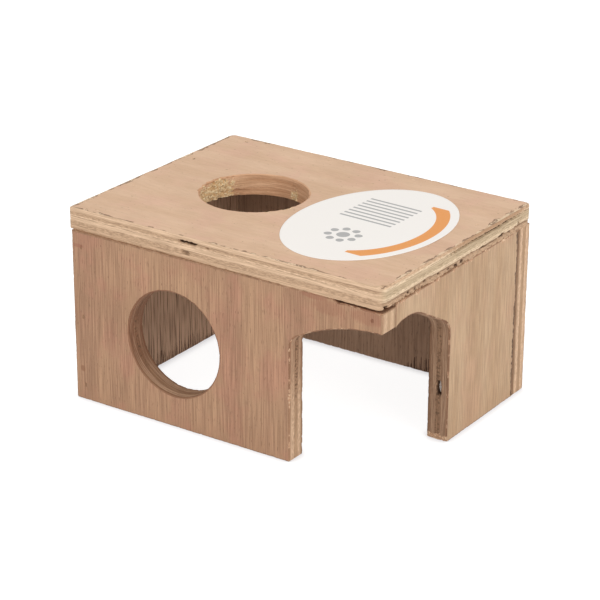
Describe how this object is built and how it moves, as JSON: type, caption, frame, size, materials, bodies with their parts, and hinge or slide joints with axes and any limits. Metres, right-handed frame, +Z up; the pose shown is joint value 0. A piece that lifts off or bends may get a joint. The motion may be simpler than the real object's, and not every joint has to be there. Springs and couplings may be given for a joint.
{
  "type": "wooden hamster house",
  "caption": "Open-bottomed plywood hide for a small pet, with a round hole in the front, another in the roof and an arched doorway wrapped round one corner.",
  "frame": {"origin": "on the ground, at the middle of the house's footprint", "axes": "+X along the front from the closed end to the open corner, +Y from the front to the back, +Z up"},
  "size_m": [0.162, 0.121, 0.0901],
  "materials": {
    "plywood_roof": "bare sanded plywood, light side up",
    "plywood_walls": "bare sanded plywood, reddish-brown face veneer with upright grain",
    "label_paper": "white paper label with an orange band and grey printing",
    "brad_steel": "plain wire brads"
  },
  "bodies": {
    "root": {"roof_panel": "plywood_roof", "front_panel": "plywood_walls", "back_panel": "plywood_walls", "left_end_panel": "plywood_walls", "right_end_panel": "plywood_walls", "roof_label": "label_paper", "roof_to_front_brads": "brad_steel", "roof_to_back_brads": "brad_steel", "roof_to_left_end_brads": "brad_steel", "roof_to_right_end_brads": "brad_steel", "front_to_left_end_brads": "brad_steel", "front_to_right_end_brads": "brad_steel", "back_to_left_end_brads": "brad_steel", "back_to_right_end_brads": "brad_steel"}
  },
  "joints": []
}
